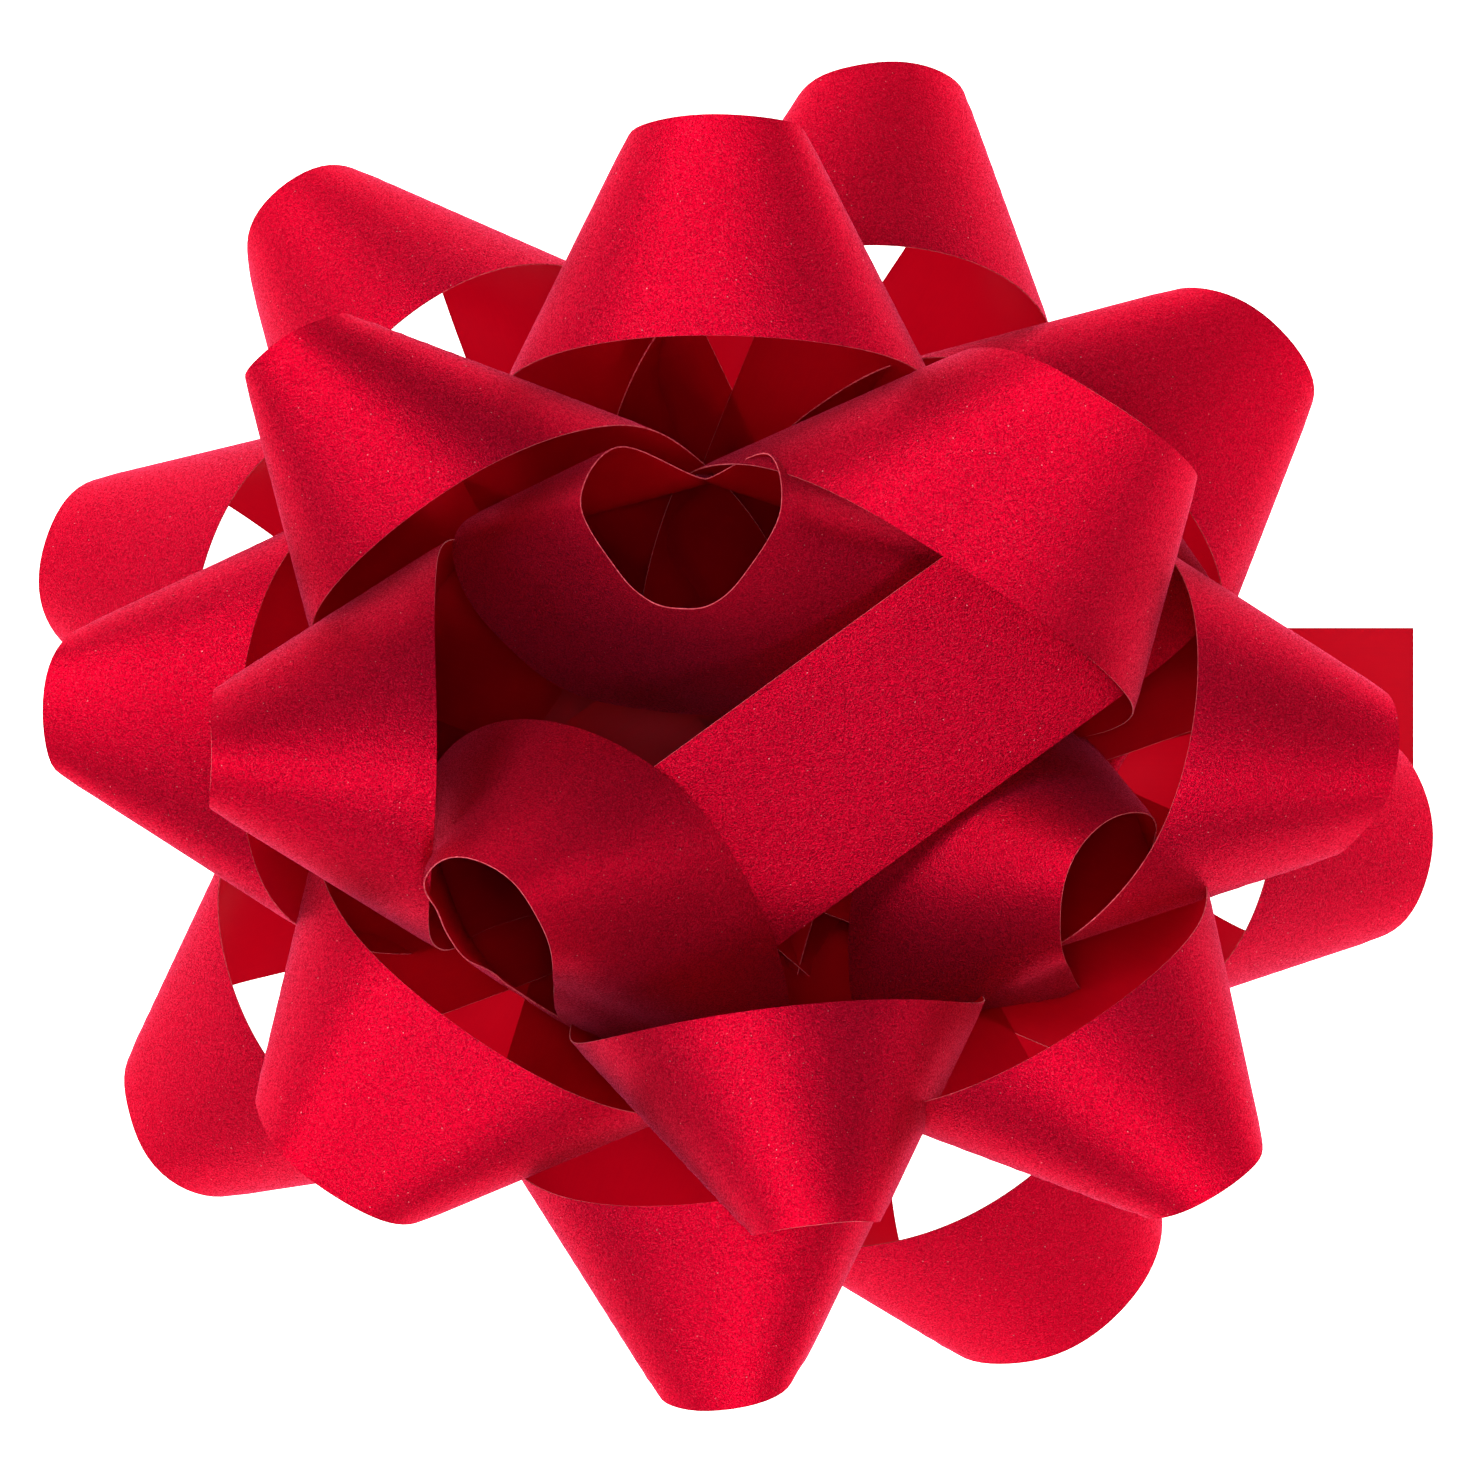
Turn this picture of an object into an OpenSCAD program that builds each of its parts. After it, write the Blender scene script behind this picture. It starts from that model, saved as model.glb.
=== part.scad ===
// Flocked ribbon star bow.
// One long ribbon is turned into half-twist loops, one after the other. Every
// time the ribbon comes back to the middle it is pierced by the same pin, so
// the passes stack up on the pin above a round stick-on base. The ribbon starts
// with a short flat tail and ends in a small plain ring over the middle.

/* [Ribbon] */
// Width of the ribbon; the loops grow and shrink with it
ribbon_w = 19; // [17:0.5:21]
// Thickness of the ribbon, flock included
ribbon_t = 0.25; // [0.2:0.01:0.28]
// Height that each pass of the ribbon takes up on the pin
pass_pitch = 0.3; // [0.3:0.01:0.35]
// How wide the bends out of the stack are, against their normal width
bend_width = 1; // [0.9:0.05:1.1]

/* [Tail] */
// Distance from the pin to the cut end of the tail
tail_reach = 56; // [40:1:60]
// Compass direction of the tail
tail_az = 0; // [-3:1:3]

/* [Centre ring] */
// Direction in which the ring lies
ring_az = 36; // [30:1:42]
// Flat ribbon between the pin and the start of the first turn
ring_foot = 20; // [17:1:23]
// Ribbon used by each of the two turns of the ring
ring_turn = 51; // [48:1:54]
// Flat ribbon between the end of the second turn and the pin
ring_rest = 2; // [1.5:0.5:6]
// Sideways tilt of the ring's top
ring_lean = 24; // [18:1:26]
// Sideways shift of the ring's top against the pin
ring_shift = 6.4; // [5:0.2:8]

/* [Base] */
// Diameter of the base card
card_d = 34; // [32:1:38]
// Thickness of the base card
card_t = 0.8; // [0.6:0.1:1.2]
// Diameter of the foam pad
pad_d = 30; // [26:1:31]
// Thickness of the foam pad
pad_t = 1; // [1:0.1:1.5]
// Diameter of the release liner
liner_d = 36; // [34:1:40]
// Thickness of the release liner
liner_t = 0.15; // [0.1:0.01:0.2]
// Length of the liner's pull tab beyond its edge
tab_len = 6; // [4:0.5:8]

/* [Pin] */
// Diameter of the pin's shank
pin_d = 2; // [1.6:0.1:2.4]
// Diameter of the pin's flange, in the hole of the foam pad
flange_d = 14; // [10:0.5:14]
// Thickness of the flange
flange_t = 0.8; // [0.5:0.1:0.8]
// Diameter of the barb that holds the ribbon down
barb_d = 3.8; // [3:0.1:4.4]

/* [Hidden] */

loops = 20;
steps = 20;
k = ribbon_w / 19;
pin_r = pin_d / 2;
card_z = liner_t + pad_t;
first_z = card_z + card_t + 0.2;
function pass_z(j) = first_z + pass_pitch * j;

// How each loop is set: direction, ribbon used, distance from the middle of the
// ribbon to the tip of the cone that the loop lies on, roll, lift, how far the
// cone is pressed flat, bend out of the stack, where that bend is, and half its
// width. Loop 19 is the heart-shaped one; its shape is in HEART below.
LOOP = [
  [  0  ,   0  ,  1  ,   0  ,  0  , 0   ,   0  ,  1  , 8],
  [165  , 131  , 26.5,   7  ,  0  , 0.10,   0  , 14  , 8],
  [301  , 129.5, 29.5,   3  ,  0  , 0.30,   0  , 14  , 8],
  [ 81.5, 129  , 23.5,  19  ,  2.5, 0.15,   8  , 13  , 8],
  [215  , 129  , 24.5,   5  , -1  , 0.20,   0  , 14  , 8],
  [351.5, 130.5, 29.5,   4  , -2  , 0.10,   0  , 14  , 8],
  [130  , 130  , 22  ,   2  ,  2  , 0.10,   8  , 14  , 8],
  [276  , 141  , 19  ,  10  ,  2  , 0.25,  37  , 14  , 8],
  [ 41  , 127.5, 24  ,  14  ,  2.5, 0.30,  11  , 12.5, 8],
  [176  , 134.5, 20  ,  -1  ,  2  , 0.30,  26  , 15  , 8],
  [305  , 143  , 18.5, -17  ,  2  , 0.20,  40  , 13  , 8],
  [ 89.5, 140.5, 22.5,  -3  ,  1.5, 0.15,  38  , 18  , 8],
  [232.5, 133.5, 24.5,  10  ,  1.5, 0.25,  34  , 14.5, 8],
  [352  , 129.5, 22  , -13  ,  2.5, 0.15,  22  , 11.5, 8],
  [127.5, 128.5, 17.5, -15  ,  2  , 0.15,  37  ,  9.5, 8],
  [275.5, 141.5, 17.5,  -4  ,  3  , 0.10,  62  , 22.5, 8],
  [ 56.5, 134.5, 30  ,  16  ,  2  , 0.20,  42  , 12.5, 8],
  [179  , 140  , 17.5,  -2  ,  2  , 0.10,  58  , 22  , 8],
  [329  , 132.5, 23  , -14.5, -5  , 0   ,  87.5, 32.5, 5],
  [ 87  , 131  ,  1  ,  -9  , 17  , 0   ,   0  ,  1  , 8],
  [246.5, 146.5, 19  ,  18.5, -6  , 0.05, 101  , 24.5, 8]
];

// The heart-shaped loop: it stands up and its two sides roll inward before they
// run back to the pin. From the middle of the loop towards the pin, equally far
// apart along the ribbon: its far edge, then its near edge, each as distance
// out, sideways and up. The other side is the mirror image.
HEART = [
  [19  ,  0  , 26.5,  5  ,  0  , 13.5],
  [19.5,  2.5, 26.5,  7.5, 10.5, 14.5],
  [22  ,  5  , 27  , 14  , 18  , 15.5],
  [27.5,  8  , 27  , 19.5, 20.5, 15.5],
  [30.5,  6  , 21  , 21.5, 19.5, 11.5],
  [26.5,  0  , 15  , 19.5, 16.5,  8.5],
  [25  , -2.5,  6  , 19  , 15.5,  4.5]
];
// Its flat legs: length in three equal steps, and angle either side of its axis.
heart_leg = 19.5;
heart_spread = 17;

// ---- maths ----------------------------------------------------------------
function clip(x, a, b) = min(max(x, a), b);
function sstep(x) = let (c = clip(x, 0, 1)) c * c * (3 - 2 * c);
function unit(a) = a / norm(a);

// A point of the flat ribbon, s along it and v across it, wrapped on a cone
// whose lowest line runs out from the pin. Both ends meet at the pin.
function on_cone(s, v, half, apex) =
  let (turn = atan2(half, apex) / 180, b = asin(turn),
       r = norm([apex - v, s]), om = atan2(s, apex - v) / turn)
  [norm([apex, half]) - r * cos(b) * cos(b) + r * sin(b) * cos(om) * sin(b),
   -r * sin(b) * sin(om),
   r * cos(b) * sin(b) + r * sin(b) * cos(om) * cos(b)];

// The cone pressed down a little away from the pin and held flat near the pin.
function pressed(p, q) =
  let (rho = norm([p[0], p[1]]), w = sstep(rho / (1.2 * ribbon_w)))
  [p[0], p[1] * (1 + 0.6 * q * w), p[2] * (1 - q * w) * sstep((rho / k - 3) / 16)];

// A smooth bend by ang about a cross line, over h each side of it.
function bent(p, ang, at, h) =
  ang < 0.5 ? p :
  let ( u = clip((p[0] - at + h) / (2 * h), 0, 1),
       a = ang * u, rad = 2 * h / (ang * PI / 180),
       over = max(p[0] - at - h, 0), inside = p[0] > at - h)
  [(inside ? at - h + rad * sin(a) + over * cos(a) : p[0]) - p[2] * sin(a), p[1],
   (inside ? rad * (1 - cos(a)) + over * sin(a) : 0) + p[2] * cos(a)];

function lifted(p, lift, roll) =
  let (w = sstep(norm(p) / (1.2 * ribbon_w)), a = lift * w, b = roll * w,
       x = p[0] * cos(a) - p[2] * sin(a), z = p[0] * sin(a) + p[2] * cos(a))
  [x, p[1] * cos(b) - z * sin(b), p[1] * sin(b) + z * cos(b)];

function loop_pt(i, s, v) =
  let (q = LOOP[i], half = q[1] * k / 2,
       p = lifted(bent(pressed(on_cone(s, v, half, q[2] * k), q[5]),
                  q[6], q[7] * k, q[8] * k * bend_width), q[4], q[3]))
  [p[0] * cos(q[0]) - p[1] * sin(q[0]), p[0] * sin(q[0]) + p[1] * cos(q[0]),
   p[2] + pass_z(i - 0.5) + pass_pitch / 2 * clip(s / (0.6 * half), -1, 1)];

function loop_nrm(i, s, v) =
  unit(cross(loop_pt(i, s + 0.2, v) - loop_pt(i, s - 0.2, v),
             loop_pt(i, s, v + 0.2) - loop_pt(i, s, v - 0.2)));

// Stations run along the straight lines of the cone in the middle of the loop
// and turn square to the ribbon at the pin.
function station(i, t, v) =
  let (end = LOOP[i][1] * k / 2 - pin_r - 0.02, c = 1 - v / (LOOP[i][2] * k))
  end * t * c / (1 + (c - 1) * t * t);

// ---- heart-shaped loop -------------------------------------------------------
heart_i = 19;
heart_n = len(HEART) + 3;
heart_step = heart_leg / 3;
function flip(a) = [a[0], -a[1], a[2], a[3], -a[4], a[5]];
function heart_row(i) =
  i < 0 ? flip(HEART[-i]) :
  i < len(HEART) ? HEART[i] :
  let (d = heart_step * (heart_n - i), c = cos(heart_spread), s = sin(heart_spread))
  [d * c + 9.5 * s, d * s - 9.5 * c, 0, d * c - 9.5 * s, d * s + 9.5 * c, 0];
// A smooth curve through the rows, t counted in rows.
function heart_edges(t) =
  let (i = min(floor(t), heart_n - 1), f = t - i, a = heart_row(i - 1),
       b = heart_row(i), c = heart_row(i + 1), d = heart_row(i + 2))
  0.5 * (2 * b + f * (c - a) + f * f * (2 * a - 5 * b + 4 * c - d)
         + f * f * f * (3 * b - 3 * c + d - a));
// t runs through the whole loop, below 0 on one side and above 0 on the other.
function heart_pt(t, v) =
  let (q = LOOP[heart_i], h = heart_edges(abs(t)), e = t > 0 ? flip(h) : h,
       u = v / ribbon_w + 0.5, w = 1 - u,
       p = lifted(k * [e[3] * w + e[0] * u, e[4] * w + e[1] * u, e[5] * w + e[2] * u],
                  q[4], q[3]))
  [p[0] * cos(q[0]) - p[1] * sin(q[0]), p[0] * sin(q[0]) + p[1] * cos(q[0]),
   p[2] + pass_z(heart_i - 0.5) + pass_pitch / 2 * clip(2 * t / heart_n, -1, 1)];
function heart_nrm(t, v) =
  unit(cross(heart_pt(t + 0.03, v) - heart_pt(t - 0.03, v),
             heart_pt(t, v + 0.2) - heart_pt(t, v - 0.2)));
module heart_loop() {
  h = ribbon_t / 2;
  end = heart_n - (pin_r + 0.02) / (heart_step * k);
  grid = [for (a = [-steps:steps]) [for (j = [-1:1])
    let (v = j * ribbon_w / 2, t = end * a / steps) [heart_pt(t, v), heart_nrm(t, v)]]];
  ribbon_solid([for (g = grid) [for (c = g) c[0] + h * c[1]]],
               [for (g = grid) [for (c = g) c[0] - h * c[1]]]);
}

// ---- a ribbon of thickness ribbon_t from a grid of centre points -----------
// Each station has three points across, above and below: 0..2 above, 3..5 below.
module ribbon_solid(tops, bottoms) {
  n = len(tops);
  pts = [for (i = [0:n - 1]) each concat(tops[i], bottoms[i])];
  faces = concat(
    [for (i = [0:n - 2]) for (j = [0:1]) let (a = 6 * i + j)
      each [[a, a + 1, a + 7], [a, a + 7, a + 6]]],
    [for (i = [0:n - 2]) for (j = [3:4]) let (a = 6 * i + j)
      each [[a, a + 7, a + 1], [a, a + 6, a + 7]]],
    [for (i = [0:n - 2]) let (a = 6 * i)
      each [[a, a + 9, a + 3], [a, a + 6, a + 9]]],
    [for (i = [0:n - 2]) let (a = 6 * i + 2)
      each [[a, a + 3, a + 9], [a, a + 9, a + 6]]],
    [[0, 3, 4], [0, 4, 1], [1, 4, 5], [1, 5, 2]],
    [let (a = 6 * (n - 1)) each [[a, a + 4, a + 3], [a, a + 1, a + 4],
                                 [a + 1, a + 5, a + 4], [a + 1, a + 2, a + 5]]]);
  polyhedron(points = pts, faces = faces, convexity = 6);
}

module twist_loop(i) {
  h = ribbon_t / 2;
  grid = [for (a = [-steps:steps]) [for (j = [-1:1])
    let (v = j * ribbon_w / 2, s = station(i, a / steps, v))
    [loop_pt(i, s, v), loop_nrm(i, s, v)]]];
  ribbon_solid([for (g = grid) [for (c = g) c[0] + h * c[1]]],
               [for (g = grid) [for (c = g) c[0] - h * c[1]]]);
}

// ---- tail -----------------------------------------------------------------
// Flat over the base card, then drooping a little towards its cut end.
function tail_z(x) = pass_z(0) - 1.1 * sstep((x - card_d / 2 - 2) / 30);
module tail() {
  color("#c8102e") rotate([0, 0, tail_az]) {
    xs = concat([pin_r + 0.02], [for (i = [1:11]) pin_r + (tail_reach - pin_r) * i / 11]);
    ribbon_solid(
      [for (x = xs) [for (j = [-1:1]) [x, j * ribbon_w / 2, tail_z(x) + ribbon_t / 2]]],
      [for (x = xs) [for (j = [-1:1]) [x, j * ribbon_w / 2, tail_z(x) - ribbon_t / 2]]]);
  }
}

// ---- centre ring ------------------------------------------------------------
// Direction of the ribbon along the ring: two half turns, flat in between.
ring_top = ring_foot + ring_rest;
ring_from = pin_r + 0.02;
ring_len = 2 * ring_top + 2 * ring_turn - 2 * ring_from;
function ring_dir(u) =
  180 * sstep((u + ring_from - ring_foot) / ring_turn)
  + 180 * sstep((u + ring_from - ring_foot - ring_turn - ring_top) / ring_turn);
ring_n = 48;
ring_ds = ring_len / ring_n;
ring_path = [for (i = 0, p = [ring_from, 0]; i <= ring_n;
                  p = p + ring_ds * [cos(ring_dir((i + 0.5) * ring_ds)),
                                     sin(ring_dir((i + 0.5) * ring_ds))],
                  i = i + 1) p];
ring_h = max([for (p = ring_path) p[1]]);
function ring_pt(i, y, off) =
  let (d = ring_dir(i * ring_ds), p = ring_path[i],
       x = p[0] - off * sin(d), z = p[1] + off * cos(d),
       w = ring_lean * sstep(z / 10))
  [x, y * cos(w) - ring_shift * sstep(z / ring_h),
   z + y * sin(w) + pass_z(loops) + pass_pitch * clip(2 * i / ring_n - 0.5, 0, 1)];
module centre_ring() {
  ribbon_solid(
    [for (i = [0:ring_n]) [for (j = [-1:1]) ring_pt(i, j * ribbon_w / 2, ribbon_t / 2)]],
    [for (i = [0:ring_n]) [for (j = [-1:1]) ring_pt(i, j * ribbon_w / 2, -ribbon_t / 2)]]);
}

// ---- the loops as sub-parts --------------------------------------------------
module loop_01() { color("#c8102e") twist_loop(1); }
module loop_02() { color("#c8102e") twist_loop(2); }
module loop_03() { color("#c8102e") twist_loop(3); }
module loop_04() { color("#c8102e") twist_loop(4); }
module loop_05() { color("#c8102e") twist_loop(5); }
module loop_06() { color("#c8102e") twist_loop(6); }
module loop_07() { color("#c8102e") twist_loop(7); }
module loop_08() { color("#c8102e") twist_loop(8); }
module loop_09() { color("#c8102e") twist_loop(9); }
module loop_10() { color("#c8102e") twist_loop(10); }
module loop_11() { color("#c8102e") twist_loop(11); }
module loop_12() { color("#c8102e") twist_loop(12); }
module loop_13() { color("#c8102e") twist_loop(13); }
module loop_14() { color("#c8102e") twist_loop(14); }
module loop_15() { color("#c8102e") twist_loop(15); }
module loop_16() { color("#c8102e") twist_loop(16); }
module loop_17() { color("#c8102e") twist_loop(17); }
module loop_18() { color("#c8102e") twist_loop(18); }
module loop_19() { color("#c8102e") heart_loop(); }
module loop_20() { color("#c8102e") twist_loop(20); }
module loop_21() { color("#c8102e") rotate([0, 0, ring_az]) centre_ring(); }

// ---- pin and base --------------------------------------------------------------
// Flange under the card, shank up through every pass, blunt barb on top.
module centre_pin() {
  top = pass_z(loops + 1) + ribbon_t / 2 + 0.1;
  color("#e8e8e8") rotate_extrude($fn = 48) polygon([
    [0, card_z - flange_t], [flange_d / 2, card_z - flange_t], [flange_d / 2, card_z],
    [pin_r, card_z], [pin_r, top], [barb_d / 2, top], [barb_d / 2, top + 0.5],
    [pin_r * 0.5, top + 2.2], [0, top + 2.2]]);
}

module base_card() {
  color("#f2f0ea") translate([0, 0, card_z]) difference() {
    cylinder(d = card_d, h = card_t, $fn = 96);
    translate([0, 0, -1]) cylinder(d = pin_d + 0.2, h = card_t + 2, $fn = 32);
  }
}

module adhesive_pad() {
  color("#fafafa") translate([0, 0, liner_t]) difference() {
    cylinder(d = pad_d, h = pad_t, $fn = 96);
    translate([0, 0, -1]) cylinder(d = flange_d + 1, h = pad_t + 2, $fn = 64);
  }
}

module release_liner() {
  color("#fffdf5") linear_extrude(liner_t) union() {
    circle(d = liner_d, $fn = 96);
    translate([-liner_d / 2 - tab_len + 5, -5]) square([tab_len + 5, 10]);
    translate([-liner_d / 2 - tab_len + 5, 0]) circle(d = 10, $fn = 48);
  }
}

tail();
loop_01();
loop_02();
loop_03();
loop_04();
loop_05();
loop_06();
loop_07();
loop_08();
loop_09();
loop_10();
loop_11();
loop_12();
loop_13();
loop_14();
loop_15();
loop_16();
loop_17();
loop_18();
loop_19();
loop_20();
loop_21();
centre_pin();
base_card();
adhesive_pad();
release_liner();
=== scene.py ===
import math

import bpy
import numpy as np
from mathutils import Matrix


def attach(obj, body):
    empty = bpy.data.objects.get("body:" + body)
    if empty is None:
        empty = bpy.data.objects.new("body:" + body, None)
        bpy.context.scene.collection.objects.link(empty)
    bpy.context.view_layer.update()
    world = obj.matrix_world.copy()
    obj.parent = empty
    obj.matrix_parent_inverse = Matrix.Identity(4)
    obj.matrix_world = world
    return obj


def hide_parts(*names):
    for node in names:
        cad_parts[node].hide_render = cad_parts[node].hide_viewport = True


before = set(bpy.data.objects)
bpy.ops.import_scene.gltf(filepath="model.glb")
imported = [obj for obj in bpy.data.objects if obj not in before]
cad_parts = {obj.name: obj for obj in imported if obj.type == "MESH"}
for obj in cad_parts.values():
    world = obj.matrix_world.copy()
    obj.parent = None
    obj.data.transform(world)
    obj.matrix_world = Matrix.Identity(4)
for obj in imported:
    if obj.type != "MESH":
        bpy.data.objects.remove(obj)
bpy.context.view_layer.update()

SC = bpy.context.scene

# ----------------------------------------------------------------------------
# The ribbon, in millimetres, by the same rules as the construction.
# ----------------------------------------------------------------------------
W = 19.0
T = 0.25
PASS0 = 2.15
PITCH = 0.3
PIN_R = 1.0

# azimuth, ribbon used, tip distance, roll, lift, pressed flat, bend, bend at, bend half width
LOOPS = {
    1: (165.0, 131.0, 26.5, 7, 0.0, 0.10, 0, 14, 8),
    2: (301.0, 129.5, 29.5, 3, 0.0, 0.30, 0, 14, 8),
    3: (81.5, 129.0, 23.5, 19, 2.5, 0.15, 8, 13, 8),
    4: (215.0, 129.0, 24.5, 5, -1.0, 0.20, 0, 14, 8),
    5: (351.5, 130.5, 29.5, 4, -2.0, 0.10, 0, 14, 8),
    6: (130.0, 130.0, 22.0, 2, 2.0, 0.10, 8, 14, 8),
    7: (276.0, 141.0, 19.0, 10, 2.0, 0.25, 37, 14, 8),
    8: (41.0, 127.5, 24.0, 14, 2.5, 0.30, 11, 12.5, 8),
    9: (176.0, 134.5, 20.0, -1, 2.0, 0.30, 26, 15, 8),
    10: (305.0, 143.0, 18.5, -17, 2.0, 0.20, 40, 13, 8),
    11: (89.5, 140.5, 22.5, -3, 1.5, 0.15, 38, 18, 8),
    12: (232.5, 133.5, 24.5, 10, 1.5, 0.25, 34, 14.5, 8),
    13: (352.0, 129.5, 22.0, -13, 2.5, 0.15, 22, 11.5, 8),
    14: (127.5, 128.5, 17.5, -15, 2.0, 0.15, 37, 9.5, 8),
    15: (275.5, 141.5, 17.5, -4, 3.0, 0.10, 62, 22.5, 8),
    16: (56.5, 134.5, 30.0, 16, 2.0, 0.20, 42, 12.5, 8),
    17: (179.0, 140.0, 17.5, -2, 2.0, 0.10, 58, 22, 8),
    18: (329.0, 132.5, 23.0, -14.5, -5.0, 0.0, 87.5, 32.5, 5),
    20: (246.5, 146.5, 19.0, 18.5, -6.0, 0.05, 101, 24.5, 8),
}

# loop 19, the heart-shaped one: far edge and near edge, from its middle towards the pin
HEART = [
    (19.0, 0.0, 26.5, 5.0, 0.0, 13.5),
    (19.5, 2.5, 26.5, 7.5, 10.5, 14.5),
    (22.0, 5.0, 27.0, 14.0, 18.0, 15.5),
    (27.5, 8.0, 27.0, 19.5, 20.5, 15.5),
    (30.5, 6.0, 21.0, 21.5, 19.5, 11.5),
    (26.5, 0.0, 15.0, 19.5, 16.5, 8.5),
    (25.0, -2.5, 6.0, 19.0, 15.5, 4.5),
]
HEART_AZ, HEART_ROLL, HEART_LIFT, HEART_LEG, HEART_SPREAD = 87.0, -9.0, 17.0, 19.5, 17.0


def sstep(x):
    x = np.clip(x, 0.0, 1.0)
    return x * x * (3 - 2 * x)


def bend(x, z, ang, at, half):
    if abs(ang) < 0.5:
        return x, z
    e = math.radians(ang)
    a = e * np.clip((x - (at - half)) / (2 * half), 0, 1)
    rad = 2 * half / e
    over = np.maximum(x - (at + half), 0)
    inside = x > at - half
    cx = np.where(inside, at - half + rad * np.sin(a) + over * np.cos(a), x)
    cz = np.where(inside, rad * (1 - np.cos(a)) + over * np.sin(a), 0.0)
    return cx - z * np.sin(a), cz + z * np.cos(a)


def loop_point(k, s, v):
    """The ribbon's middle surface: s along it, v across it, wrapped on its cone and set in place."""
    az, length, apex, roll, lift, press, ang, at, half_w = LOOPS[k]
    half = length / 2
    turn = math.atan2(half, apex) / math.pi
    b = math.asin(turn)
    r = np.hypot(apex - v, s)
    om = np.arctan2(s, apex - v) / turn
    x = math.hypot(apex, half) - r * math.cos(b) ** 2 + r * math.sin(b) ** 2 * np.cos(om)
    y = -r * math.sin(b) * np.sin(om)
    z = r * math.cos(b) * math.sin(b) * (1 + np.cos(om))
    rho = np.hypot(x, y)
    w = sstep(rho / (1.2 * W))
    y = y * (1 + 0.6 * press * w)
    z = z * (1 - press * w) * sstep((rho - 3) / 16)
    x, z = bend(x, z, ang, at, half_w)
    return set_in_place(x, y, z, k, az, roll, lift, s / (0.3 * length))


def set_in_place(x, y, z, k, az, roll, lift, along):
    w = sstep(np.sqrt(x * x + y * y + z * z) / (1.2 * W))
    a = np.radians(lift) * w
    x, z = x * np.cos(a) - z * np.sin(a), x * np.sin(a) + z * np.cos(a)
    a = np.radians(roll) * w
    y, z = y * np.cos(a) - z * np.sin(a), y * np.sin(a) + z * np.cos(a)
    z = z + PASS0 + PITCH * (k - 0.5) + PITCH / 2 * np.clip(along, -1, 1)
    t = math.radians(az)
    return np.stack([x * math.cos(t) - y * math.sin(t), x * math.sin(t) + y * math.cos(t), z], -1)


def heart_rows():
    rows = [list(r) for r in HEART]
    c, s = math.cos(math.radians(HEART_SPREAD)), math.sin(math.radians(HEART_SPREAD))
    for i in (3, 2, 1, 0, -1):
        d = HEART_LEG / 3 * i
        rows.append([d * c + 9.5 * s, d * s - 9.5 * c, 0, d * c - 9.5 * s, d * s + 9.5 * c, 0])
    rows = np.array(rows)
    flip = np.array([1, -1, 1, 1, -1, 1.0])
    return np.concatenate([[rows[1] * flip], rows])


ROWS = heart_rows()
HEART_N = len(ROWS) - 3


def heart_point(t, v):
    """The heart-shaped loop: t counts rows, below 0 on one side and above 0 on the other."""
    a = np.abs(t)
    i = np.minimum(np.floor(a).astype(int), HEART_N - 1)
    f = (a - i)[..., None]
    p, q, r, o = ROWS[i], ROWS[i + 1], ROWS[i + 2], ROWS[i + 3]
    e = 0.5 * (2 * q + f * (r - p) + f * f * (2 * p - 5 * q + 4 * r - o) + f**3 * (3 * q - 3 * r + o - p))
    e = np.where((t > 0)[..., None], e * np.array([1, -1, 1, 1, -1, 1.0]), e)
    u = (v / W + 0.5)[..., None]
    xyz = e[..., 3:] * (1 - u) + e[..., :3] * u
    return set_in_place(xyz[..., 0], xyz[..., 1], xyz[..., 2], 19, HEART_AZ, HEART_ROLL, HEART_LIFT, 2 * t / HEART_N)


def waves(k, s, length):
    """Slow unevenness of a ribbon wound by hand, in millimetres, none at the pin."""
    rng = np.random.default_rng(400 + k)
    out = 0
    for wave, size in ((31.0, 0.22), (19.0, 0.13), (12.0, 0.06)):
        out = out + size * np.sin(2 * np.pi * s / (wave * rng.uniform(0.9, 1.1)) + rng.uniform(0, 2 * np.pi))
    edge = (np.abs(s) - (length / 2 - 22)) / 16
    return out * (1 - sstep(edge))


def unit(a):
    return a / np.linalg.norm(a, axis=-1, keepdims=True)


def grid_normals(point, s, v, h=0.15):
    ds = point(s + h, v) - point(s - h, v)
    dv = point(s, v + h) - point(s, v - h)
    return unit(np.cross(ds, dv))


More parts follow.
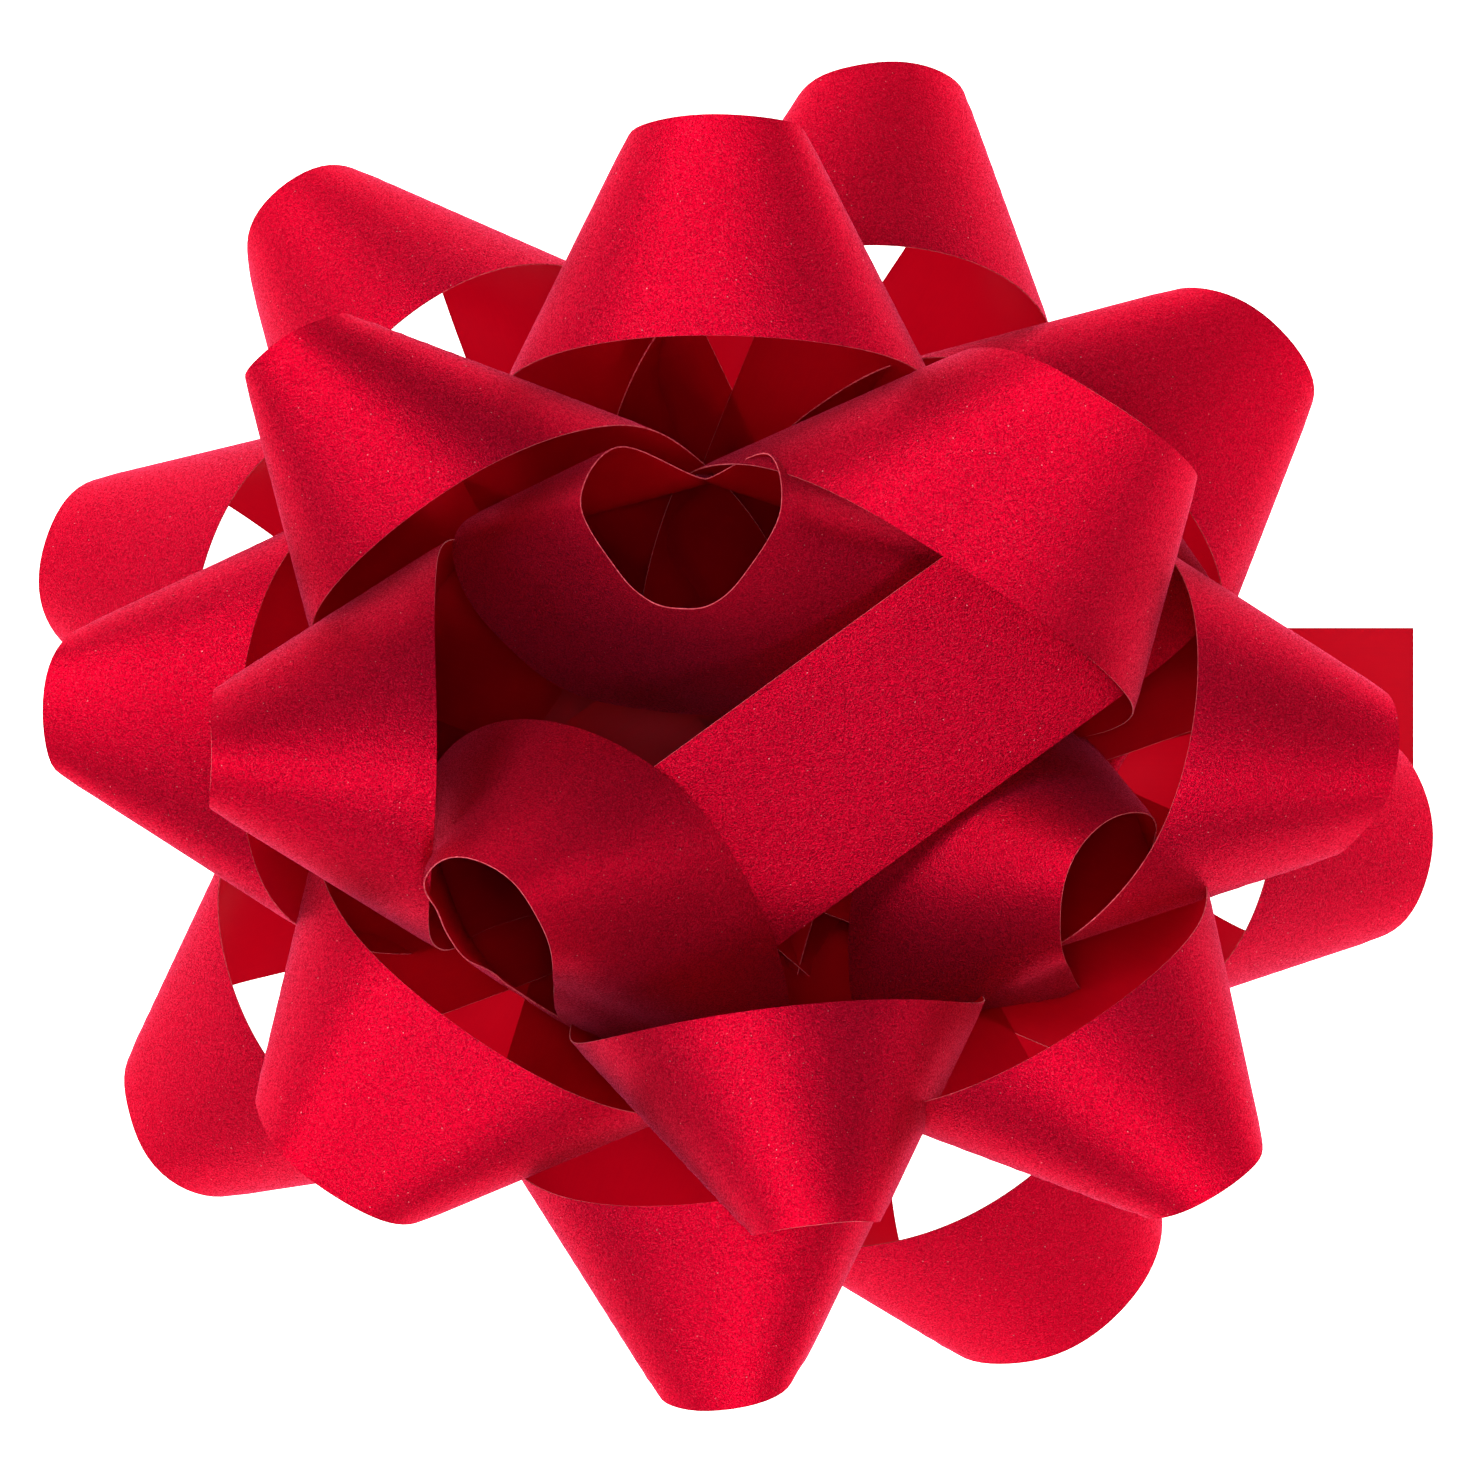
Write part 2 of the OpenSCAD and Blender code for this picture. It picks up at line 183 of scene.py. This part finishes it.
# ----------------------------------------------------------------------------
# A strip of real thickness from a grid of middle points
# ----------------------------------------------------------------------------
def strip(name, P, N, S, V, thick=T, body="root"):
    n, m = P.shape[:2]
    half = np.full((n, m, 1), thick / 2)
    half[:, [0, -1]] *= 0.4  # the knife leaves the edge thinner than the ribbon
    top = P + N * half
    bot = P - N * half
    verts = np.concatenate([top.reshape(-1, 3), bot.reshape(-1, 3)]) / 1000.0
    i, j = np.meshgrid(np.arange(n - 1), np.arange(m - 1), indexing="ij")
    a = (i * m + j).ravel()
    q = n * m
    up = np.stack([a, a + m, a + m + 1, a + 1], 1)
    dn = np.stack([a + q, a + 1 + q, a + m + 1 + q, a + m + q], 1)
    r = np.arange(n - 1) * m
    e0 = np.stack([r, r + q, r + m + q, r + m], 1)
    r = r + m - 1
    e1 = np.stack([r, r + m, r + m + q, r + q], 1)
    c = np.arange(m - 1)
    c0 = np.stack([c, c + 1, c + 1 + q, c + q], 1)
    c = c + (n - 1) * m
    c1 = np.stack([c, c + q, c + 1 + q, c + 1], 1)
    faces = np.concatenate([up, dn, e0, e1, c0, c1])
    mats = np.concatenate([np.zeros(len(up)), np.ones(len(dn)), np.full(len(e0) * 2 + len(c0) * 2, 2)])
    me = bpy.data.meshes.new(name)
    me.from_pydata(verts.tolist(), [], faces.tolist())
    me.polygons.foreach_set("material_index", mats.astype(np.int32))
    smooth = np.zeros(len(faces), dtype=bool)
    smooth[: len(up) + len(dn)] = True
    me.polygons.foreach_set("use_smooth", smooth)
    for key, val in (("along", S), ("across", V)):
        at = me.attributes.new(key, "FLOAT", "POINT")
        at.data.foreach_set("value", np.concatenate([val.ravel(), val.ravel()]).astype(np.float32) / 1000.0)
    me.update()
    ob = bpy.data.objects.new(name, me)
    SC.collection.objects.link(ob)
    # the flat faces keep their own normals, and the cut edges theirs
    sharp = me.attributes.new("sharp_edge", "BOOLEAN", "EDGE") if "sharp_edge" not in me.attributes else me.attributes["sharp_edge"]
    ev = np.zeros(len(me.edges) * 2, dtype=np.int64)
    me.edges.foreach_get("vertices", ev)
    ev = ev.reshape(-1, 2)
    loc = ev % q
    row, col = loc // m, loc % m
    border = ((col == 0).all(1)) | ((col == m - 1).all(1)) | ((row == 0).all(1)) | ((row == n - 1).all(1))
    sharp.data.foreach_set("value", border)
    return ob


# ----------------------------------------------------------------------------
# Materials
# ----------------------------------------------------------------------------
def new_mat(name):
    m = bpy.data.materials.new(name)
    m.use_nodes = True
    nt = m.node_tree
    for n in list(nt.nodes):
        nt.nodes.remove(n)
    out = nt.nodes.new("ShaderNodeOutputMaterial")
    return m, nt, out


def N_(nt, kind, **kw):
    n = nt.nodes.new(kind)
    for k, v in kw.items():
        setattr(n, k, v)
    return n


def ramp(nt, src, stops, interp="LINEAR"):
    r = nt.nodes.new("ShaderNodeValToRGB")
    r.color_ramp.interpolation = interp
    el = r.color_ramp.elements
    el[0].position, el[0].color = stops[0][0], stops[0][1]
    el[1].position, el[1].color = stops[1][0], stops[1][1]
    for p, c in stops[2:]:
        e = el.new(p)
        e.color = c
    nt.links.new(src, r.inputs[0])
    return r.outputs["Color"]


def maths(nt, op, a, b=None, c=None, clamp=False):
    n = nt.nodes.new("ShaderNodeMath")
    n.operation = op
    n.use_clamp = clamp
    for i, x in enumerate((a, b, c)):
        if x is None:
            continue
        if isinstance(x, (int, float)):
            n.inputs[i].default_value = x
        else:
            nt.links.new(x, n.inputs[i])
    return n.outputs[0]


def mixc(nt, fac, a, b, kind="MIX"):
    n = nt.nodes.new("ShaderNodeMix")
    n.data_type = "RGBA"
    n.blend_type = kind
    for key, x in ((0, fac), (6, a), (7, b)):
        if isinstance(x, (int, float, tuple)):
            n.inputs[key].default_value = x
        else:
            nt.links.new(x, n.inputs[key])
    return n.outputs[2]


def noise(nt, vec, scale, detail=2.0, rough=0.5, dist=0.0):
    n = nt.nodes.new("ShaderNodeTexNoise")
    n.inputs["Scale"].default_value = scale
    n.inputs["Detail"].default_value = detail
    n.inputs["Roughness"].default_value = rough
    n.inputs["Distortion"].default_value = dist
    nt.links.new(vec, n.inputs["Vector"])
    return n.outputs["Fac"]


def flock():
    m, nt, out = new_mat("red_flock")
    tc = nt.nodes.new("ShaderNodeTexCoord").outputs["Object"]
    fine = noise(nt, tc, 7600, 1.0, 0.6)
    mid = noise(nt, tc, 3800, 2.0, 0.5)
    broad = noise(nt, tc, 60, 2.0, 0.5)
    grain = maths(nt, "ADD", maths(nt, "MULTIPLY", fine, 0.6), maths(nt, "MULTIPLY", mid, 0.4))
    shade = ramp(nt, broad, [(0.3, (0.88, 0.88, 0.88, 1)), (0.7, (1.0, 1.0, 1.0, 1))])
    # a few bright fibre ends, and many faint ones
    vo = N_(nt, "ShaderNodeTexVoronoi")
    vo.inputs["Scale"].default_value = 1000
    nt.links.new(tc, vo.inputs["Vector"])
    dot = maths(nt, "LESS_THAN", vo.outputs["Distance"], 0.055)
    speck = ramp(nt, noise(nt, tc, 8200, 0.0, 0.5), [(0.58, (0, 0, 0, 1)), (0.74, (1, 1, 1, 1))])
    # seen along the surface, the fibre tips form a pale nap
    lw = N_(nt, "ShaderNodeLayerWeight")
    lw.inputs["Blend"].default_value = 0.5
    nap = maths(nt, "POWER", lw.outputs["Facing"], 3.0)

    def tone(lo, mid_c, hi):
        c = ramp(nt, grain, [(0.34, lo), (0.66, hi), (0.50, mid_c)])
        return mixc(nt, 1.0, c, shade, "MULTIPLY")

    # between the fibres the light is lost; the fibre ends send it back towards where it came from
    p = nt.nodes.new("ShaderNodeBsdfPrincipled")
    nt.links.new(tone((0.10, 0.0, 0.011, 1), (0.20, 0.001, 0.018, 1), (0.34, 0.004, 0.034, 1)), p.inputs["Base Color"])
    p.inputs["Roughness"].default_value = 0.95
    p.inputs["Specular IOR Level"].default_value = 0.08
    nt.links.new(ramp(nt, fine, [(0.40, (0.1, 0.1, 0.1, 1)), (0.62, (1.0, 1.0, 1.0, 1))]), p.inputs["Sheen Weight"])
    p.inputs["Sheen Roughness"].default_value = 0.28
    p.inputs["Sheen Tint"].default_value = (1.0, 0.10, 0.29, 1)
    bu = nt.nodes.new("ShaderNodeBump")
    bu.inputs["Strength"].default_value = 0.8
    bu.inputs["Distance"].default_value = 0.00008
    nt.links.new(grain, bu.inputs["Height"])
    nt.links.new(bu.outputs["Normal"], p.inputs["Normal"])
    gl = nt.nodes.new("ShaderNodeBsdfAnisotropic")
    gl.inputs["Roughness"].default_value = 0.43
    bright = tone((0.38, 0.0, 0.015, 1), (0.74, 0.0, 0.023, 1), (0.94, 0.001, 0.033, 1))
    bright = mixc(nt, maths(nt, "MULTIPLY", speck, 0.22), bright, (1.0, 0.09, 0.16, 1))
    bright = mixc(nt, maths(nt, "MULTIPLY", nap, maths(nt, "MULTIPLY_ADD", fine, 3.4, -1.2, clamp=True)), bright, (1.0, 0.13, 0.27, 1))
    bright = mixc(nt, maths(nt, "MULTIPLY", dot, 0.6), bright, (1.0, 0.45, 0.50, 1))
    nt.links.new(bright, gl.inputs["Color"])
    nt.links.new(bu.outputs["Normal"], gl.inputs["Normal"])
    m1 = nt.nodes.new("ShaderNodeMixShader")
    m1.inputs[0].default_value = 0.6
    nt.links.new(p.outputs[0], m1.inputs[1])
    nt.links.new(gl.outputs[0], m1.inputs[2])
    tr = nt.nodes.new("ShaderNodeBsdfTranslucent")
    tr.inputs["Color"].default_value = (1.0, 0.02, 0.14, 1)
    mx = nt.nodes.new("ShaderNodeMixShader")
    mx.inputs[0].default_value = 0.23
    nt.links.new(m1.outputs[0], mx.inputs[1])
    nt.links.new(tr.outputs[0], mx.inputs[2])
    nt.links.new(mx.outputs[0], out.inputs["Surface"])
    return m


def satin():
    m, nt, out = new_mat("red_satin_back")
    al = N_(nt, "ShaderNodeAttribute", attribute_name="along").outputs["Fac"]
    ac = N_(nt, "ShaderNodeAttribute", attribute_name="across").outputs["Fac"]
    cv = nt.nodes.new("ShaderNodeCombineXYZ")
    nt.links.new(maths(nt, "MULTIPLY", al, 90.0), cv.inputs[0])
    nt.links.new(maths(nt, "MULTIPLY", ac, 5200.0), cv.inputs[1])
    line = noise(nt, cv.outputs[0], 1.0, 3.0, 0.6)
    tc = nt.nodes.new("ShaderNodeTexCoord").outputs["Object"]
    broad = noise(nt, tc, 70, 2.0, 0.5)
    col = ramp(nt, line, [(0.25, (0.16, 0.000, 0.004, 1)), (0.75, (0.27, 0.000, 0.009, 1))])
    col = mixc(nt, 1.0, col, ramp(nt, broad, [(0.3, (0.88, 0.88, 0.88, 1)), (0.7, (1, 1, 1, 1))]), "MULTIPLY")
    p = nt.nodes.new("ShaderNodeBsdfPrincipled")
    nt.links.new(col, p.inputs["Base Color"])
    nt.links.new(maths(nt, "MULTIPLY_ADD", line, 0.2, 0.36), p.inputs["Roughness"])
    p.inputs["Specular IOR Level"].default_value = 0.35
    p.inputs["Specular Tint"].default_value = (1.0, 0.3, 0.42, 1)
    bu = nt.nodes.new("ShaderNodeBump")
    bu.inputs["Strength"].default_value = 0.5
    bu.inputs["Distance"].default_value = 0.00004
    nt.links.new(line, bu.inputs["Height"])
    nt.links.new(bu.outputs["Normal"], p.inputs["Normal"])
    tr = nt.nodes.new("ShaderNodeBsdfTranslucent")
    tr.inputs["Color"].default_value = (1.0, 0.02, 0.15, 1)
    mx = nt.nodes.new("ShaderNodeMixShader")
    mx.inputs[0].default_value = 0.68
    nt.links.new(p.outputs[0], mx.inputs[1])
    nt.links.new(tr.outputs[0], mx.inputs[2])
    nt.links.new(mx.outputs[0], out.inputs["Surface"])
    return m


def cut_edge():
    m, nt, out = new_mat("ribbon_cut_edge")
    tc = nt.nodes.new("ShaderNodeTexCoord").outputs["Object"]
    g = noise(nt, tc, 2600, 2.0, 0.6)
    col = ramp(nt, g, [(0.3, (0.38, 0.006, 0.02, 1)), (0.7, (0.75, 0.10, 0.14, 1))])
    p = nt.nodes.new("ShaderNodeBsdfPrincipled")
    nt.links.new(col, p.inputs["Base Color"])
    p.inputs["Roughness"].default_value = 0.8
    p.inputs["Specular IOR Level"].default_value = 0.2
    p.inputs["Sheen Weight"].default_value = 0.25
    p.inputs["Sheen Tint"].default_value = (1.0, 0.4, 0.45, 1)
    nt.links.new(p.outputs[0], out.inputs["Surface"])
    return m


def plain(name, lo, hi, scale, rough, bump, spec=0.5, dist=0.0001, coat=0.0):
    m, nt, out = new_mat(name)
    tc = nt.nodes.new("ShaderNodeTexCoord").outputs["Object"]
    a = noise(nt, tc, scale, 4.0, 0.6)
    b = noise(nt, tc, scale * 0.08, 2.0, 0.5)
    g = maths(nt, "ADD", maths(nt, "MULTIPLY", a, 0.7), maths(nt, "MULTIPLY", b, 0.3))
    col = ramp(nt, g, [(0.3, lo + (1,)), (0.7, hi + (1,))])
    p = nt.nodes.new("ShaderNodeBsdfPrincipled")
    nt.links.new(col, p.inputs["Base Color"])
    nt.links.new(maths(nt, "MULTIPLY_ADD", a, 0.16, rough - 0.08), p.inputs["Roughness"])
    p.inputs["Specular IOR Level"].default_value = spec
    p.inputs["Coat Weight"].default_value = coat
    bu = nt.nodes.new("ShaderNodeBump")
    bu.inputs["Strength"].default_value = bump
    bu.inputs["Distance"].default_value = dist
    nt.links.new(a, bu.inputs["Height"])
    nt.links.new(bu.outputs["Normal"], p.inputs["Normal"])
    nt.links.new(p.outputs[0], out.inputs["Surface"])
    return m


FLOCK, SATIN, EDGE = flock(), satin(), cut_edge()
CARD = plain("uncoated_card", (0.78, 0.77, 0.73), (0.90, 0.89, 0.86), 1800, 0.85, 0.5)
FOAM = plain("foam_tape", (0.80, 0.80, 0.78), (0.95, 0.95, 0.93), 2600, 0.9, 0.9, dist=0.0003)
LINER = plain("siliconed_liner", (0.88, 0.86, 0.80), (0.95, 0.93, 0.88), 500, 0.32, 0.15, coat=0.3)
PLASTIC = plain("moulded_pin_plastic", (0.78, 0.78, 0.77), (0.88, 0.88, 0.87), 900, 0.42, 0.25)


def finish_ribbon(ob, node):
    for m in (FLOCK, SATIN, EDGE):
        ob.data.materials.append(m)
    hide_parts(node)
    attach(ob, "root")


# ----------------------------------------------------------------------------
# Loops
# ----------------------------------------------------------------------------
NS, NV = 84, 12
for k in LOOPS:
    half = LOOPS[k][1] / 2 - PIN_R - 0.02
    s, v = np.meshgrid(np.linspace(-half, half, 2 * NS + 1), np.linspace(-W / 2, W / 2, NV + 1), indexing="ij")
    pt = lambda a, b, k=k: loop_point(k, a, b)
    P = pt(s, v)
    N = grid_normals(pt, s, v)
    # the unevenness follows the straight lines of the cone, as the loop's own curve does
    wavy = lambda a, b, k=k: loop_point(k, a, b) + grid_normals(pt, a, b) * waves(k, a * LOOPS[k][2] / (LOOPS[k][2] - b), 2 * half)[..., None]
    P, N = wavy(s, v), grid_normals(wavy, s, v)
    finish_ribbon(strip("ribbon_loop_%02d" % k, P, N, s, v), "loop_%02d" % k)

# the heart-shaped loop
end = HEART_N - (PIN_R + 0.02) / (HEART_LEG / 3)
s, v = np.meshgrid(np.linspace(-end, end, 2 * NS + 1), np.linspace(-W / 2, W / 2, NV + 1), indexing="ij")
P = heart_point(s, v)
N = grid_normals(heart_point, s, v, 0.03)
flat = 130.8
finish_ribbon(strip("ribbon_loop_19", P, N, s * flat / (2 * end), v), "loop_19")

# tail: satin side up, flat over the card, then a slight droop to the cut end
x, y = np.meshgrid(np.linspace(PIN_R + 0.02, 56.0, 70), np.linspace(-W / 2, W / 2, NV + 1), indexing="ij")


def tail_pt(a, b):
    return np.stack([a, b, PASS0 - 1.1 * sstep((a - 19.0) / 30.0) + 0 * b], -1)


P = tail_pt(x, y)
N = grid_normals(tail_pt, x, y)
finish_ribbon(strip("ribbon_tail", P, -N, x, y), "tail")

# centre ring
FOOT, TURN, REST, LEAN, SHIFT, RAZ = 20.0, 51.0, 2.0, 24.0, 6.4, 36.0
TOPL = FOOT + REST
RL = 2 * TOPL + 2 * TURN - 2 * (PIN_R + 0.02)


def ring_dir(u):
    f = PIN_R + 0.02
    return np.radians(180 * sstep((u + f - FOOT) / TURN) + 180 * sstep((u + f - FOOT - TURN - TOPL) / TURN))


uu = np.linspace(0, RL, 2001)
mid = (uu[1:] + uu[:-1]) / 2
px = PIN_R + 0.02 + np.concatenate([[0], np.cumsum(np.cos(ring_dir(mid)) * np.diff(uu))])
pz = np.concatenate([[0], np.cumsum(np.sin(ring_dir(mid)) * np.diff(uu))])


def ring_pt(u, b):
    x0 = np.interp(u, uu, px)
    z0 = np.interp(u, uu, pz)
    w = np.radians(LEAN) * sstep(z0 / 10)
    y1 = b * np.cos(w) - SHIFT * sstep(z0 / pz.max())
    z1 = z0 + b * np.sin(w) + PASS0 + PITCH * 20 + PITCH * np.clip(2 * u / RL - 0.5, 0, 1)
    t = math.radians(RAZ)
    return np.stack([x0 * math.cos(t) - y1 * math.sin(t), x0 * math.sin(t) + y1 * math.cos(t), z1], -1)


u, b = np.meshgrid(np.linspace(0.2, RL - 0.2, 190), np.linspace(-W / 2, W / 2, NV + 1), indexing="ij")
P = ring_pt(u, b)
N = grid_normals(ring_pt, u, b)
# the ring's outer face is flock; the strip helper puts flock on the +N side
finish_ribbon(strip("ribbon_centre_ring", P, -N, u, b), "loop_21")

# ----------------------------------------------------------------------------
# CAD nodes that stay, with their materials
# ----------------------------------------------------------------------------
for node, mat in (("base_card", CARD), ("adhesive_pad", FOAM), ("release_liner", LINER), ("centre_pin", PLASTIC)):
    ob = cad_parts[node]
    ob.data.materials.clear()
    ob.data.materials.append(mat)

# ----------------------------------------------------------------------------
# Floor, light and camera
# ----------------------------------------------------------------------------
me = bpy.data.meshes.new("floor")
me.from_pydata([(-1.5, -1.5, -0.0003), (1.5, -1.5, -0.0003), (1.5, 1.5, -0.0003), (-1.5, 1.5, -0.0003)], [], [(0, 1, 2, 3)])
floor = bpy.data.objects.new("floor", me)
SC.collection.objects.link(floor)
m, nt, out = new_mat("pale_floor")
p = nt.nodes.new("ShaderNodeBsdfPrincipled")
p.inputs["Base Color"].default_value = (0.35, 0.35, 0.35, 1)
p.inputs["Roughness"].default_value = 0.9
p.inputs["Specular IOR Level"].default_value = 0.1
p.inputs["Emission Color"].default_value = (1, 1, 1, 1)
p.inputs["Emission Strength"].default_value = 1.9
nt.links.new(p.outputs[0], out.inputs["Surface"])
me.materials.append(m)

world = bpy.data.worlds.new("studio")
SC.world = world
world.use_nodes = True
bg = world.node_tree.nodes.get("Background") or world.node_tree.nodes.new("ShaderNodeBackground")
bg.inputs[0].default_value = (1, 1, 1, 1)
bg.inputs[1].default_value = 0.05


def area(name, loc, target, size, power, col=(1, 1, 1)):
    li = bpy.data.lights.new(name, "AREA")
    li.shape = "DISK"
    li.size = size
    li.energy = power
    li.color = col
    ob = bpy.data.objects.new(name, li)
    SC.collection.objects.link(ob)
    ob.location = loc
    d = np.array(target, float) - np.array(loc, float)
    from mathutils import Vector

    ob.rotation_euler = Vector(d).to_track_quat("-Z", "Y").to_euler()
    return ob


area("key", (-0.61, 0.67, 0.73), (0, 0, 0.02), 0.45, 5.6)
area("left", (-0.86, 0.0, 0.79), (0, 0, 0.02), 0.45, 4.6)
area("top_left", (-0.23, 0.41, 1.07), (0, 0, 0.02), 0.35, 2.0)
area("right", (1.02, 0.06, 0.42), (0, 0, 0.02), 0.35, 1.7)
area("front", (0.40, -0.46, 0.98), (0, 0, 0.02), 0.35, 5.0)
area("front_left", (-0.27, -0.47, 1.03), (0, 0, 0.02), 0.35, 1.0)
area("low_front", (0.0, -1.09, 0.38), (0, 0, 0.02), 0.35, 1.5)
area("above", (0.0, 0.02, 1.17), (0, 0, 0.02), 0.30, 3.4)

cam = bpy.data.cameras.new("camera")
cam.lens = 266.7
cam.sensor_width = 36.0
cam.sensor_fit = "AUTO"
cam.clip_start = 0.05
cam.clip_end = 10.0
co = bpy.data.objects.new("camera", cam)
SC.collection.objects.link(co)
co.location = (0.0, 0.00066, 0.9)
co.rotation_euler = (0.0, 0.0, 0.0)
SC.camera = co

SC.view_settings.view_transform = "Standard"
SC.view_settings.look = "None"
